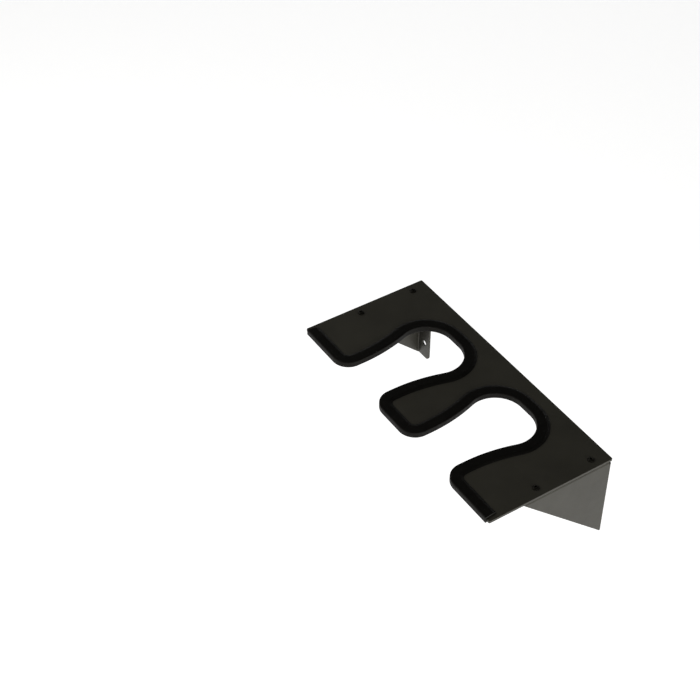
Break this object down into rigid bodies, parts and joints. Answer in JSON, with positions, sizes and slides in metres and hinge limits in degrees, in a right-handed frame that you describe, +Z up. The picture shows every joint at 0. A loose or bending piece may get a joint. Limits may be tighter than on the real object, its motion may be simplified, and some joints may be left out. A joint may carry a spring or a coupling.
{
  "type": "boot rack",
  "caption": "Wall rack in coated sheet steel that holds a pair of boots upside down in keyhole slots lined with rubber edge trim, on triangular side brackets.",
  "frame": {"origin": "on the wall plane, at mid-width, level with the top face of the plate", "axes": "+X along the wall to the right end, +Y into the wall, +Z up"},
  "size_m": [0.33, 0.1539, 0.108],
  "materials": {
    "powder_coat": "satin charcoal powder coat",
    "trim_rubber": "matt black",
    "black_steel": "black oxide",
    "zinc_steel": "zinc plated",
    "nylon": "satin white"
  },
  "bodies": {
    "root": {"top_plate": "powder_coat", "edge_trim": "trim_rubber", "right_bracket": "powder_coat", "left_bracket": "powder_coat", "screw_right_rear": "black_steel", "screw_right_front": "black_steel", "screw_left_rear": "black_steel", "screw_left_front": "black_steel", "washer_right_rear": "zinc_steel", "washer_right_front": "zinc_steel", "washer_left_rear": "zinc_steel", "washer_left_front": "zinc_steel", "nut_right_rear": "zinc_steel", "nut_right_front": "zinc_steel", "nut_left_rear": "zinc_steel", "nut_left_front": "zinc_steel", "nut_ring_right_rear": "nylon", "nut_ring_right_front": "nylon", "nut_ring_left_rear": "nylon", "nut_ring_left_front": "nylon"}
  },
  "joints": []
}
